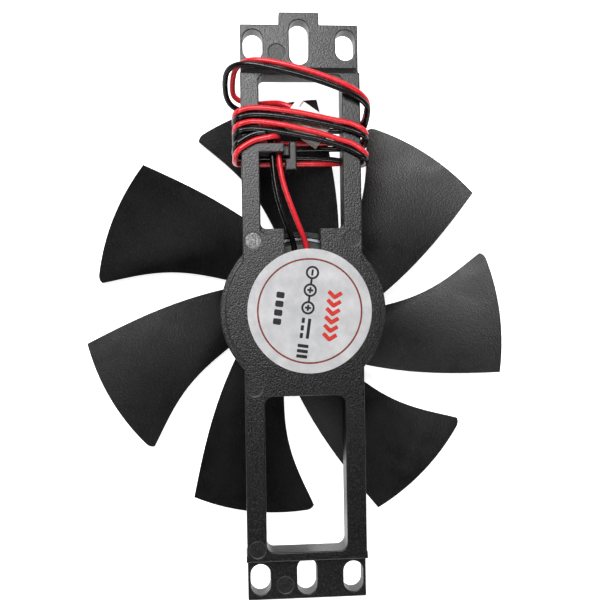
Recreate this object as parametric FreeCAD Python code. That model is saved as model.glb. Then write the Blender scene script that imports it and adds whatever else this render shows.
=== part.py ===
import FreeCAD, Part
import math
import os

from FreeCAD import Vector

# A 110 mm axial cooling fan on a two-armed moulded bracket, driven by a small brushless
# motor whose coils sit inside the impeller's hub. Millimetres.
# +Z is the fan axis and points to the label. +X runs along the bracket to the end with the
# tab, and +Y is across it. The origin is on the fan axis, in the bracket's mounting plane.

# ---- bracket ----
BAR_WIDTH = 29.7          # across both rails
BAR_DEPTH = 7.2           # mounting plane to label face
BAR_TOP_END = 59.1        # where the thick bar's face stops, tab end
RAMP_RUN = 1.8            # slope from there down to the plate
BAR_LOW_END = 61.7        # where the thick bar stops, plain end
PLATE_END = 71.65         # both mounting plates end here
PLATE_STEP = 2.2          # label face down to the plates' faces
PLATE_INSET = 0.1         # plate's edge inside the bar's
PLATE_ROOT = 0.5          # how far the plates run into the bar
COLLAR_STEP = 0.2         # a slightly wider band where the bar stops, plain end
COLLAR_LENGTH = 1.7
TAB_WIDTH = 10.0
TAB_END = 74.75
SLOT_WIDTH = 5.0
SIDE_SLOT_LENGTH = 7.7
SLOT_REACH = 66.6         # slot centre from the fan axis, along the bar
SLOT_OFFSET = 11.6        # slot centre from the bar's middle line
TAB_SLOT_LENGTH = 11.3
TAB_SLOT_X = 67.3
LOW_SLOT_LENGTH = 9.0
LOW_SLOT_X = 66.2
UPPER_RAIL = 4.5
UPPER_WINDOW = (20.5, 58.5)
LOWER_RAIL = 4.85
LOWER_WINDOW = (21.0, 59.5)
UPPER_CORNER = 1.4
LOWER_CORNER = 2.0
DISC_RADIUS = 20.6
DISC_FACE_RADIUS = 19.3
DISC_DRAFT = 0.15
DISC_STEP = 0.8           # label face down to the disc's ledge
LEDGE_WIDTH = 1.3         # the ledge where the upper window meets the disc
DISC_FLOOR = 2.0          # plastic under the label
CUP_WALL = 1.9
NOTCH_WIDTH = 9.2
NOTCH_DEPTH = 8.0         # from the upper window towards the axis
PIN_MARK_RADIUS = 2.1
PIN_MARK_DEPTH = 0.15
EDGE_ROUND = 0.25
PLATE_ROUND = 0.18        # the wall beside a side slot is only half a millimetre

# ---- wire hook in the upper window ----
ARM_X = (39.4, 41.7)
ARM_TIP_Y = 4.2
ARM_DEPTH = 2.2
HOOK_MOUTH = 2.0          # between the finger and the arm, where the leads pass
HOOK_X = (35.0, 42.0)
HOOK_Y = (1.2, 2.9)
FOOT_LENGTH = 2.8
FOOT_TIP_Y = 3.9
HOOK_ROUND = 0.25
HOOK_ROOT = 1.5           # how far the arm and the finger run into the rail

# ---- label ----
LABEL_RADIUS = 15.45
LABEL_OFFSET = 1.5
LABEL_THICKNESS = 0.12

# ---- impeller ----
SWEEP_RADIUS = 55.0
BLADES = 7
FIRST_BLADE_ANGLE = -56.5   # sharp outer corner of the first blade
HUB_RADIUS = 20.4
HUB_WALL = 1.4
HUB_FACE = 1.5
HUB_RIM_GAP = 1.3           # bracket to the hub's open rim
HUB_DEPTH = 15.0
HUB_ROUND = 1.2
BLADE_DROP = 1.8            # hub rim to the blades' nearest edge
BLADE_HEIGHT = 11.2
BLADE_THICKNESS = 1.1
BLADE_CAMBER = 0.3
NEAR_SWEEP = (-26.0, -15.3, -8.6, -3.7, 0.0)
FAR_SWEEP = (18.5, 22.6, 26.6, 31.2, 35.0)
TIP_SHORTFALL = 1.0         # the far outer corner is this much nearer the axis
TIP_ROUND = 2.2

# ---- motor ----
SHAFT_RADIUS = 1.5
SHAFT_CLEARANCE = 0.02
SHAFT_TOP = 5.0
GROOVE_RADIUS = 1.15
LOCK_RING_RADIUS = 2.6
LOCK_RING_THICKNESS = 0.6
LOCK_RING_GAP = 0.8
END_PLAY = 0.2
BUSH_RADIUS = 3.0
BUSH_TOP = 3.7
BUSH_LENGTH = 12.7
TUBE_WALL = 1.0
TUBE_END_GAP = 1.0          # hub insert to the bearing tube's lower end
BOSS_WALL = 1.6
WASHER_RADIUS = 2.8
WASHER_THICKNESS = 0.4
SEAL_RADIUS = 2.6
SEAL_THICKNESS = 0.8
INSERT_RADIUS = 3.4
INSERT_LENGTH = 4.9
INSERT_WALL = 1.8
INSERT_COVER = 1.0          # hub plastic over the insert's end
INSERT_PROUD = 0.6          # insert above the hub's collar
YOKE_WALL = 0.8
YOKE_RIM_DROP = 0.5
MAGNET_WALL = 2.0
MAGNET_HEIGHT = 10.0
MAGNET_DROP = 0.5
AIR_GAP = 0.4
POLES = 4
CORE_HEIGHT = 6.0
CORE_DROP = 3.3             # board's underside to the core's top
CORE_RING = 7.6
TOOTH_WIDTH = 4.0
SHOE_DEPTH = 2.2
SHOE_ANGLE = 70.0
LINER = 0.6                 # insulator beside a tooth
LINER_END = 0.8             # insulator over a tooth's end
FLANGE_DEPTH = 0.8
FLANGE_WIDTH = 10.0
FLANGE_LIP = 1.8
COIL_BUILD = 1.5
COIL_ROUND = 1.2
COIL_GAP = 0.1
PIN_RADIUS = 0.35
PIN_RING = 6.7
PIN_SEAT = 0.2              # core to the foot of a winding pin
PIN_STICKOUT = 0.8          # pin above the board
BOARD_RADIUS = 16.8
BOARD_THICKNESS = 1.0
BOARD_ROOM = 3.2            # board's top to the cup's ceiling
BOARD_HOLE_GAP = 0.15
CHIP_INSET = 2.2            # magnet's bore to the chip's middle
CHIP_SIZE = (1.6, 4.2, 2.9)
CAPACITOR_SIZE = (3.2, 1.6, 1.3)
DIODE_SIZE = (4.3, 2.6, 2.1)
COMPONENT_X = -9.5
CAPACITOR_Y = 4.0
DIODE_Y = -4.5
CHIP_ANGLE = 135.0

# ---- leads, winding and connector ----
WIRE_RADIUS = 0.7
BEND_SHARE = 0.45           # share of a straight run that each bend may use
SOLDER_X = 13.2
SOLDER_RADIUS = 0.95
SOLDER_LENGTH = 0.6         # blob's middle to the flat end that the wire meets
SOLDER_HEIGHT = 0.3         # blob's middle above the board
RED_SOLDER_Y = -1.5
BLACK_SOLDER_Y = 1.7
WIND_GAP = 0.05             # winding to the rails it is wrapped on
WIND_LAYER = 1.5
WIND_TOP = 45.0             # where the loose turn leaves the winding's side
PLUG_LENGTH = 10.8
PLUG_WIDTH = 7.2
PLUG_THICKNESS = 5.6
PLUG_X = 47.2
PLUG_Y = -1.8
PLUG_ANGLE = -125.5         # heading of the plug's open end
PLUG_PITCH = 2.5
TERMINAL_SIZE = 1.8
PLUG_RIB = 0.5              # height of the ribs, and half their width
PLUG_FLANGE = 1.6           # the thicker band at the wire end
TERMINAL_SINK = 0.8         # socket's mouth inside the plug's
TERMINAL_SHEET = 0.35

HUB_RIM = -HUB_RIM_GAP
HUB_BASE = HUB_RIM - HUB_DEPTH
SIDE = BAR_WIDTH / 2
PLATE_DEPTH = BAR_DEPTH - PLATE_STEP
DISC_UNDERSIDE = BAR_DEPTH - DISC_FLOOR
FINGER_DEPTH = BAR_DEPTH - ARM_DEPTH - HOOK_MOUTH
BOARD_TOP = DISC_UNDERSIDE - BOARD_ROOM
BOARD_BASE = BOARD_TOP - BOARD_THICKNESS
CORE_TOP = BOARD_BASE - CORE_DROP
CUP_RADIUS = DISC_RADIUS - CUP_WALL
TUBE_RADIUS = BUSH_RADIUS + TUBE_WALL
MAGNET_OUTER = HUB_RADIUS - HUB_WALL - YOKE_WALL
MAGNET_INNER = MAGNET_OUTER - MAGNET_WALL
CORE_RADIUS = MAGNET_INNER - AIR_GAP
SHOE_INNER = CORE_RADIUS - SHOE_DEPTH
CHIP_RADIUS = MAGNET_INNER - CHIP_INSET
CORE_BASE = CORE_TOP - CORE_HEIGHT
BUSH_BASE = BUSH_TOP - BUSH_LENGTH
YOKE_FLOOR = HUB_BASE + HUB_FACE
INSERT_BASE = HUB_BASE + INSERT_COVER
INSERT_TOP = INSERT_BASE + INSERT_LENGTH
PLUG_MIDDLE = Vector(PLUG_X, PLUG_Y, BAR_DEPTH / 2)
UP = Vector(0, 0, 1)
OVER = 1.0                  # how far a cutting tool runs past a face
NEAR = 1e-4                 # closer than this counts as the same place

parts = {}


def block(x, y, z):
    """A box between the pairs of limits x, y and z."""
    return Part.makeBox(x[1] - x[0], y[1] - y[0], z[1] - z[0], Vector(x[0], y[0], z[0]))


def post(radius, low, high, x=0.0, y=0.0):
    """An upright cylinder."""
    return Part.makeCylinder(radius, high - low, Vector(x, y, low))


def ring(outer, inner, low, high):
    """An upright tube about the fan axis."""
    return post(outer, low, high).cut(post(inner, low - OVER, high + OVER))


def turned(shape, angle):
    """A copy turned about the fan axis."""
    copy = shape.copy()
    copy.rotate(Vector(0, 0, 0), UP, angle)
    return copy


def at_angles(shape, count, first=0.0):
    """Copies spaced evenly about the fan axis."""
    return [turned(shape, first + 360.0 * step / count) for step in range(count)]


def fuse_all(shapes):
    """One solid from several, with the seams between them removed."""
    return shapes[0].multiFuse(shapes[1:]).removeSplitter()


def slot(x, y, length, width, low, high):
    """A slot along X with round ends."""
    half = (length - width) / 2
    middle = block((x - half, x + half), (y - width / 2, y + width / 2), (low, high))
    ends = [post(width / 2, low, high, x + side * half, y) for side in (-1, 1)]
    return fuse_all([middle] + ends)


def upright_edges(shape):
    """The edges along Z."""
    found = []
    for edge in shape.Edges:
        box = edge.BoundBox
        if max(box.XLength, box.YLength) < NEAR < box.ZLength:
            found.append(edge)
    return found


# ---------------------------------------------------------------- bracket
def edges_at(shape, *heights):
    """The edges that lie flat at one of the heights."""
    found = []
    for edge in shape.Edges:
        box = edge.BoundBox
        if any(max(abs(box.ZMin - z), abs(box.ZMax - z)) < NEAR for z in heights):
            found.append(edge)
    return found


def window(low, high, rail, depth, corner):
    """The opening between two rails, with rounded corners, cut to the given depth."""
    half = SIDE - rail
    hole = block((low, high), (-half, half), (BAR_DEPTH - depth, BAR_DEPTH + OVER))
    return hole.makeFillet(corner, upright_edges(hole))


def thick_bar():
    """The two window arms, with softened edges and a ramp down to the tab end's plate."""
    bar = block((-BAR_LOW_END, BAR_TOP_END), (-SIDE, SIDE), (0, BAR_DEPTH))
    through = BAR_DEPTH + OVER
    bar = bar.cut(window(UPPER_WINDOW[0], UPPER_WINDOW[1], UPPER_RAIL, through, UPPER_CORNER))
    ledge_low = UPPER_WINDOW[0] - LEDGE_WIDTH
    bar = bar.cut(window(ledge_low, UPPER_WINDOW[1], UPPER_RAIL, DISC_STEP, UPPER_CORNER))
    bar = bar.cut(window(-LOWER_WINDOW[1], -LOWER_WINDOW[0], LOWER_RAIL, through, LOWER_CORNER))
    bar = bar.removeSplitter().Solids[0]
    bar = bar.makeFillet(EDGE_ROUND, edges_at(bar, 0, BAR_DEPTH))
    root, foot = BAR_TOP_END - PLATE_ROOT, BAR_TOP_END + RAMP_RUN
    edge = EDGE_ROUND - SIDE
    head = BAR_TOP_END - EDGE_ROUND
    slope = [(root, 0), (root, BAR_DEPTH), (head, BAR_DEPTH), (foot, PLATE_DEPTH), (foot, 0)]
    profile = [Vector(x, edge, z) for x, z in slope]
    ramp = Part.Face(Part.makePolygon(profile + profile[:1])).extrude(Vector(0, -2 * edge, 0))
    collar_x = (-BAR_LOW_END, COLLAR_LENGTH - BAR_LOW_END)
    collar = block(collar_x, (-SIDE - COLLAR_STEP, SIDE + COLLAR_STEP), (0, BAR_DEPTH))
    collar = collar.makeFillet(EDGE_ROUND, edges_at(collar, 0, BAR_DEPTH))
    return [bar, ramp, collar]


def mounting_plate(bar_end, tab, middle_x, middle_length):
    """A thin end of the bracket along +X, with three fixing slots; the tab end is longer in the middle."""
    near = bar_end - PLATE_ROOT
    half = SIDE - PLATE_INSET
    plate = block((near, PLATE_END), (-half, half), (0, PLATE_DEPTH))
    if tab:
        nose = block((near, TAB_END), (-TAB_WIDTH / 2, TAB_WIDTH / 2), (0, PLATE_DEPTH))
        plate = fuse_all([plate, nose])
    through = (-OVER, PLATE_DEPTH + OVER)
    plate = plate.cut(slot(middle_x, 0, middle_length, SLOT_WIDTH, *through))
    for across in (-1, 1):
        plate = plate.cut(slot(SLOT_REACH, across * SLOT_OFFSET, SIDE_SLOT_LENGTH, SLOT_WIDTH, *through))
    plate = plate.Solids[0]
    corners = [e for e in upright_edges(plate) if e.Vertexes[0].X > PLATE_END - NEAR]
    plate = plate.makeFillet(EDGE_ROUND, corners)
    return plate.makeFillet(PLATE_ROUND, edges_at(plate, 0, PLATE_DEPTH))


def wire_hook():
    """The arm, the finger under it and the hook that keeps the leads between them."""
    rail_y = SIDE - UPPER_RAIL + HOOK_ROOT
    arm = block(ARM_X, (ARM_TIP_Y, rail_y), (BAR_DEPTH - ARM_DEPTH, BAR_DEPTH))
    finger = block(ARM_X, (HOOK_Y[0], rail_y), (0, FINGER_DEPTH))
    riser = block(HOOK_X, HOOK_Y, (0, BAR_DEPTH))
    foot_x = (HOOK_X[0], HOOK_X[0] + FOOT_LENGTH)
    foot = block(foot_x, (HOOK_Y[0], FOOT_TIP_Y), (FINGER_DEPTH, BAR_DEPTH))
    hook = fuse_all([riser, foot])
    return [arm.makeFillet(HOOK_ROUND, edges_at(arm, BAR_DEPTH)),
            finger.makeFillet(HOOK_ROUND, edges_at(finger, 0)),
            hook.makeFillet(HOOK_ROUND, edges_at(hook, 0, BAR_DEPTH))]


def disc():
    """The round motor seat, with a narrow ledge below its face."""
    step = BAR_DEPTH - DISC_STEP
    base = post(DISC_RADIUS, 0, step)
    base = base.makeFillet(EDGE_ROUND, edges_at(base, 0, step))
    face = Part.makeCone(DISC_FACE_RADIUS + DISC_DRAFT, DISC_FACE_RADIUS, DISC_STEP, Vector(0, 0, step))
    return [base, face.makeFillet(EDGE_ROUND, edges_at(face, BAR_DEPTH))]


def bracket():
    """The whole moulding: arms, motor seat, slotted plates, wire hook and the mould's marks."""
    tab_plate = mounting_plate(BAR_TOP_END, True, TAB_SLOT_X, TAB_SLOT_LENGTH)
    low_plate = turned(mounting_plate(BAR_LOW_END, False, LOW_SLOT_X, LOW_SLOT_LENGTH), 180)
    solid = fuse_all(thick_bar() + disc() + [tab_plate, low_plate])
    solid = solid.cut(post(CUP_RADIUS, -OVER, DISC_UNDERSIDE))
    boss = post(TUBE_RADIUS + BOSS_WALL, BOARD_TOP, DISC_UNDERSIDE + EDGE_ROUND)
    solid = fuse_all([solid, boss] + wire_hook())
    solid = solid.cut(post(TUBE_RADIUS, -OVER, DISC_UNDERSIDE))
    solid = solid.cut(post(BUSH_RADIUS, -OVER, BAR_DEPTH + OVER))
    notch_x = (UPPER_WINDOW[0] - NOTCH_DEPTH, UPPER_WINDOW[0] + OVER)
    solid = solid.cut(block(notch_x, (-NOTCH_WIDTH / 2, NOTCH_WIDTH / 2), (-OVER, BAR_DEPTH + OVER)))
    # Round marks left by the mould's ejector pins, on the label face and the plates.
    marks = [(17.6, 12.3, BAR_DEPTH), (17.9, -12.4, BAR_DEPTH), (-18.8, 12.4, BAR_DEPTH)]
    marks += [(-58.6, 12.3, BAR_DEPTH), (-68.2, 5.5, PLATE_DEPTH), (64.8, 5.7, PLATE_DEPTH)]
    for x, y, face in marks:
        solid = solid.cut(post(PIN_MARK_RADIUS, face - PIN_MARK_DEPTH, face + OVER, x, y))
    return solid


# ---------------------------------------------------------------- impeller
def blade_point(row, column, rows, columns, lift):
    """A point of the blade's middle surface, raised by lift along Z."""
    out = row / (rows - 1)
    chord = column / (columns - 1)
    root = HUB_RADIUS - HUB_WALL / 2
    radius = root + out * (SWEEP_RADIUS - root) - out ** 3 * chord * TIP_SHORTFALL
    angle = math.radians(NEAR_SWEEP[row] + chord * (FAR_SWEEP[row] - NEAR_SWEEP[row]))
    fall = BLADE_HEIGHT * (chord + BLADE_CAMBER * chord * (1 - chord))
    z = HUB_RIM - BLADE_DROP - fall + lift
    return Vector(radius * math.cos(angle), radius * math.sin(angle), z)


def blade_skin(lift_at):
    """A smooth face through a grid of blade points, each row lifted by lift_at."""
    rows = columns = len(NEAR_SWEEP)
    grid = []
    for row in range(rows):
        grid.append([blade_point(row, column, rows, columns, lift_at[row]) for column in range(columns)])
    surface = Part.BSplineSurface()
    surface.interpolate(grid)
    return surface


def blade():
    """One blade: two matching skins, closed along their four edges."""
    rows = len(NEAR_SWEEP)
    lifts = []
    for row in range(rows):
        root = HUB_RADIUS - HUB_WALL / 2
        radius = root + row / (rows - 1) * (SWEEP_RADIUS - root)
        run = radius * math.radians(FAR_SWEEP[row] - NEAR_SWEEP[row])
        lifts.append(BLADE_THICKNESS / 2 * math.hypot(run, BLADE_HEIGHT) / run)
    upper, lower = blade_skin(lifts), blade_skin([-lift for lift in lifts])
    faces = [upper.toShape(), lower.toShape()]
    first_u, last_u, first_v, last_v = upper.bounds()
    rims = [(surface.uIso(first_u), surface.uIso(last_u), surface.vIso(first_v), surface.vIso(last_v))
            for surface in (upper, lower)]
    for above, below in zip(*rims):
        faces.append(Part.makeRuledSurface(above.toShape(), below.toShape()))
    shell = Part.makeShell(faces)
    shell.sewShape()
    solid = Part.makeSolid(shell)
    if solid.Volume < 0:
        solid.reverse()
    return solid


def corner_cutter():
    """What is left outside the round of the blade's far outer corner."""
    radius = SWEEP_RADIUS - TIP_SHORTFALL
    angle = math.radians(FAR_SWEEP[-1])
    corner = Vector(radius * math.cos(angle), radius * math.sin(angle), 0)
    outward = Vector(math.cos(angle), math.sin(angle), 0)
    along = Vector(-math.sin(angle), math.cos(angle), 0)
    middle = corner - outward * TIP_ROUND - along * TIP_ROUND
    low, high = HUB_BASE - OVER, HUB_RIM + OVER
    square = Part.makeBox(2 * TIP_ROUND, 2 * TIP_ROUND, high - low, Vector(0, 0, low))
    square.rotate(Vector(0, 0, 0), UP, FAR_SWEEP[-1])
    square.translate(middle)
    return square.cut(post(TIP_ROUND, low, high, middle.x, middle.y))


def impeller():
    """Hub and blades, moulded as one piece; the hub is open towards the bracket."""
    hub = post(HUB_RADIUS, HUB_BASE, HUB_RIM)
    base_edges = [e for e in hub.Edges if max(v.Z for v in e.Vertexes) < HUB_BASE + NEAR]
    hub = hub.makeFillet(HUB_ROUND, base_edges)
    one = blade().cut(corner_cutter())
    solid = fuse_all([hub] + at_angles(one, BLADES, FIRST_BLADE_ANGLE))
    solid = solid.cut(post(HUB_RADIUS - HUB_WALL, YOKE_FLOOR, HUB_RIM + OVER))
    collar = post(INSERT_RADIUS + INSERT_WALL, HUB_BASE, INSERT_TOP - INSERT_PROUD)
    solid = fuse_all([solid, collar])
    return solid.cut(post(INSERT_RADIUS, INSERT_BASE, INSERT_TOP + OVER))


# ---------------------------------------------------------------- motor
def stator_core():
    """A stack of steel plates with four teeth that end in wide shoes."""
    shoe = ring(CORE_RADIUS, SHOE_INNER, CORE_BASE, CORE_TOP)
    half = SHOE_ANGLE / 2
    wedge = Part.makeCylinder(CORE_RADIUS + OVER, CORE_HEIGHT, Vector(0, 0, CORE_BASE), UP, SHOE_ANGLE)
    shoe = shoe.common(turned(wedge, -half))
    tooth_x = (CORE_RING - OVER, SHOE_INNER + OVER)
    tooth = block(tooth_x, (-TOOTH_WIDTH / 2, TOOTH_WIDTH / 2), (CORE_BASE, CORE_TOP))
    core = [post(CORE_RING, CORE_BASE, CORE_TOP)]
    core += at_angles(shoe, POLES) + at_angles(tooth, POLES)
    return fuse_all(core).cut(post(TUBE_RADIUS, CORE_BASE - OVER, CORE_TOP + OVER))


def insulator(core, low, high, end, lip):
    """Half of the plastic liner: low..high is beside the core, end covers it, lip rises past the end."""
    half = TOOTH_WIDTH / 2 + LINER
    span = (min(low, high, end), max(low, high, end))
    arm = block((CORE_RING - OVER, SHOE_INNER), (-half, half), span)
    lip_span = (min(span[0], lip), max(span[1], lip))
    flange_x = (SHOE_INNER - FLANGE_DEPTH, SHOE_INNER)
    flange = block(flange_x, (-FLANGE_WIDTH / 2, FLANGE_WIDTH / 2), lip_span)
    body = [post(CORE_RING + LINER, *span)]
    body += at_angles(arm, POLES) + at_angles(flange, POLES)
    return fuse_all(body).cut(post(TUBE_RADIUS, lip_span[0] - OVER, lip_span[1] + OVER)).cut(core)


def coil(angle):
    """A winding round one insulated tooth."""
    inner_y = TOOTH_WIDTH / 2 + LINER
    low, high = CORE_BASE - LINER_END, CORE_TOP + LINER_END
    reach = (CORE_RING + LINER + COIL_GAP, SHOE_INNER - FLANGE_DEPTH - COIL_GAP)
    outer_y = inner_y + COIL_BUILD
    bundle = block(reach, (-outer_y, outer_y), (low - COIL_BUILD, high + COIL_BUILD))
    along_x = [e for e in bundle.Edges if e.BoundBox.YLength + e.BoundBox.ZLength < NEAR]
    bundle = bundle.makeFillet(COIL_ROUND, along_x)
    hole = block((reach[0] - OVER, reach[1] + OVER), (-inner_y, inner_y), (low, high))
    return turned(bundle.cut(hole), angle)


def circuit_board():
    """A round board on the bracket's boss, with holes for the winding pins."""
    board = ring(BOARD_RADIUS, TUBE_RADIUS + BOARD_HOLE_GAP, BOARD_BASE, BOARD_TOP)
    for pin in winding_pins():
        board = board.cut(pin)
    return board


def winding_pins():
    """Pins in the upper insulator that carry the coil ends through the board."""
    low, high = CORE_TOP + PIN_SEAT, BOARD_TOP + PIN_STICKOUT
    pin = post(PIN_RADIUS, low, high, PIN_RING, 0)
    return at_angles(pin, POLES, 180.0 / POLES)


def hall_chip():
    """The switching chip that senses the magnet, hung from the board between two coils."""
    depth, width, height = CHIP_SIZE
    reach = (CHIP_RADIUS - depth / 2, CHIP_RADIUS + depth / 2)
    body = block(reach, (-width / 2, width / 2), (BOARD_BASE - height, BOARD_BASE))
    return turned(body, CHIP_ANGLE)


def on_board(size, x, y):
    """A small component soldered on the board's upper side."""
    length, width, height = size
    side_y = (y - width / 2, y + width / 2)
    return block((x - length / 2, x + length / 2), side_y, (BOARD_TOP, BOARD_TOP + height))


def rotor_yoke():
    """A drawn steel cup that backs the magnet, with a hole for the hub's collar."""
    outer = HUB_RADIUS - HUB_WALL
    rim = HUB_RIM - YOKE_RIM_DROP
    cup = post(outer, YOKE_FLOOR, rim).cut(post(outer - YOKE_WALL, YOKE_FLOOR + YOKE_WALL, rim + OVER))
    return cup.cut(post(INSERT_RADIUS + INSERT_WALL, YOKE_FLOOR - OVER, rim))


def shaft():
    """A steel pin with a groove for the lock ring near its upper end."""
    pin = post(SHAFT_RADIUS, INSERT_BASE, SHAFT_TOP)
    ring_low = BUSH_TOP + END_PLAY
    groove = ring(SHAFT_RADIUS + OVER, GROOVE_RADIUS, ring_low, ring_low + LOCK_RING_THICKNESS)
    return pin.cut(groove)


def lock_ring():
    """A split ring in the shaft's groove, which stops the rotor from coming out."""
    low = BUSH_TOP + END_PLAY
    body = ring(LOCK_RING_RADIUS, GROOVE_RADIUS, low, low + LOCK_RING_THICKNESS)
    half = LOCK_RING_GAP / 2
    gap = block((0, LOCK_RING_RADIUS + OVER), (-half, half), (low - OVER, low + OVER))
    return body.cut(gap)


# ---------------------------------------------------------------- leads
def cord_wire(name, points):
    """Straight runs joined by arcs, each as large as its two runs allow; prints the radii."""
    pieces, radii = [], []
    start = points[0]
    for before, corner, after in zip(points, points[1:], points[2:]):
        back, ahead = before - corner, after - corner
        shorter = min(back.Length, ahead.Length)
        back.normalize()
        ahead.normalize()
        turn = math.pi - back.getAngle(ahead)
        used = BEND_SHARE * shorter
        radius = used / math.tan(turn / 2)
        radii.append(round(radius, 1))
        arc_start, arc_end = corner + back * used, corner + ahead * used
        inward = back + ahead
        inward.normalize()
        crown = corner + inward * (radius / math.cos(turn / 2) - radius)
        pieces.append(Part.LineSegment(start, arc_start).toShape())
        pieces.append(Part.Arc(arc_start, crown, arc_end).toShape())
        start = arc_end
    pieces.append(Part.LineSegment(start, points[-1]).toShape())
    print(name, "bend radii", radii)
    return Part.Wire(pieces)


def cord_tube(name, points):
    """A round wire of WIRE_RADIUS along the points; prints how its volume compares."""
    path = cord_wire(name, points)
    direction = points[1] - points[0]
    rim = Part.Wire(Part.makeCircle(WIRE_RADIUS, points[0], direction))
    tube = path.makePipeShell([rim], True, False)
    share = tube.Volume / (math.pi * WIRE_RADIUS ** 2 * path.Length)
    print(name, "length", round(path.Length, 1), "volume over section times length", round(share, 4))
    return tube


def solder_blob(y):
    """Solder on the board round a lead's bared end, with a flat end that the insulation meets."""
    blob = Part.makeSphere(SOLDER_RADIUS, Vector(SOLDER_X, y, BOARD_TOP + SOLDER_HEIGHT))
    side = 2 * SOLDER_RADIUS
    kept = block((SOLDER_X - side, LEAD_START), (y - side, y + side), (BOARD_TOP, BOARD_TOP + side))
    return blob.common(kept)


def slab(outline, low, high):
    """A flat plate with the given outline."""
    corners = [Vector(x, y, low) for x, y in outline]
    face = Part.Face(Part.makePolygon(corners + corners[:1]))
    return face.extrude(Vector(0, 0, high - low))


def lead_winding():
    """Three turns of the pair, side by side in one layer, wrapped round both rails."""
    inside = SIDE + WIND_GAP
    outside = inside + WIND_LAYER
    low, high = -WIND_GAP - WIND_LAYER, BAR_DEPTH + WIND_GAP + WIND_LAYER
    front = [(37.4, outside), (49.8, outside), (50.9, 13.0), (50.3, 5.0), (48.5, -5.0), (46.4, -14.0)]
    front += [(WIND_TOP, -outside), (37.6, -outside), (39.4, -13.0), (42.1, -4.0), (43.2, 4.6), (41.9, 5.0)]
    front += [(42.0, 10.0), (39.9, 14.0)]
    back = [(36.9, outside), (47.8, outside), (47.8, -outside), (36.9, -outside)]
    panels = [slab(front, BAR_DEPTH + WIND_GAP, high), slab(back, low, -WIND_GAP)]
    panels.append(block((37.4, 49.8), (inside, outside), (low, high)))
    panels.append(block((37.6, WIND_TOP), (-outside, -inside), (low, high)))
    return fuse_all(panels)


def plug_place(shape):
    """Moves a plug piece, drawn along X about the origin, to where the plug lies."""
    copy = shape.copy()
    copy.rotate(Vector(0, 0, 0), UP, PLUG_ANGLE)
    copy.translate(PLUG_MIDDLE)
    return copy


def plug_point(x, y, z=0.0):
    """A point of the plug, drawn as its pieces are, in the fan's frame."""
    turn = math.radians(PLUG_ANGLE)
    across = Vector(x * math.cos(turn) - y * math.sin(turn), x * math.sin(turn) + y * math.cos(turn), z)
    return PLUG_MIDDLE + across


def connector_housing():
    """A two-way plug shell with ribs on one side and a keyed mouth."""
    length, width, thick = PLUG_LENGTH / 2, PLUG_WIDTH / 2, PLUG_THICKNESS / 2
    shell = block((-length, length), (-width, width), (-thick + PLUG_RIB, thick - PLUG_RIB))
    ribs = [block((-length, -length + PLUG_FLANGE), (-width, width), (-thick, thick))]
    for side in (-1, 1):
        rib_y = (side * PLUG_PITCH / 2 - PLUG_RIB, side * PLUG_PITCH / 2 + PLUG_RIB)
        ribs.append(block((-length, length), rib_y, (thick - PLUG_RIB, thick)))
    shell = fuse_all([shell] + ribs)
    half = TERMINAL_SIZE / 2
    for side in (-1, 1):
        y = side * PLUG_PITCH / 2
        shell = shell.cut(block((-length - OVER, length + OVER), (y - half, y + half), (-half, half)))
    return plug_place(shell)


def crimp_terminals():
    """Two folded brass sockets, one in each way of the plug."""
    length, half = PLUG_LENGTH / 2, TERMINAL_SIZE / 2
    sockets = []
    for side in (-1, 1):
        y = side * PLUG_PITCH / 2
        body = block((-length, length - TERMINAL_SINK), (y - half, y + half), (-half, half))
        clear = half - TERMINAL_SHEET
        bore = block((0, length), (y - clear, y + clear), (-clear, clear))
        sockets.append(plug_place(body.cut(bore)))
    return Part.makeCompound(sockets)


def points(*rows):
    """A route: X, Y and Z of each point, in order from the motor outwards."""
    return [Vector(*row) for row in rows]


LEAD_START = SOLDER_X + SOLDER_LENGTH
LEAD_Z = FINGER_DEPTH + HOOK_MOUTH / 2
SOLDER_Z = BOARD_TOP + WIRE_RADIUS + WIND_GAP
WIND_FACE = BAR_DEPTH + WIND_GAP
WIND_MIDDLE = SIDE + WIND_GAP + WIND_LAYER / 2
WIRE_END = -PLUG_LENGTH / 2
PLUG_LEAD = 2.6             # run of each wire straight out of the plug
PLUG_DIP = 1.4              # how far the next point lies towards the rear
RED_LEAD = points((LEAD_START, RED_SOLDER_Y, SOLDER_Z), (16.2, RED_SOLDER_Y, SOLDER_Z),
                  (20.4, 0.2, LEAD_Z - 0.4), (25.8, 2.3, LEAD_Z - 0.05), (31.2, 4.2, LEAD_Z),
                  (35.9, 5.2, LEAD_Z), (40.2, 5.55, LEAD_Z), (43.5, 5.6, LEAD_Z), (43.5, 5.6, WIND_FACE))
BLACK_LEAD = points((LEAD_START, BLACK_SOLDER_Y, SOLDER_Z), (16.2, BLACK_SOLDER_Y, SOLDER_Z),
                    (20.4, 3.1, LEAD_Z - 0.4), (25.6, 5.05, LEAD_Z - 0.05), (30.9, 6.35, LEAD_Z),
                    (36.2, 6.9, LEAD_Z), (40.4, 7.15, LEAD_Z), (43.7, 7.6, LEAD_Z), (43.7, 7.6, WIND_FACE))
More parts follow.
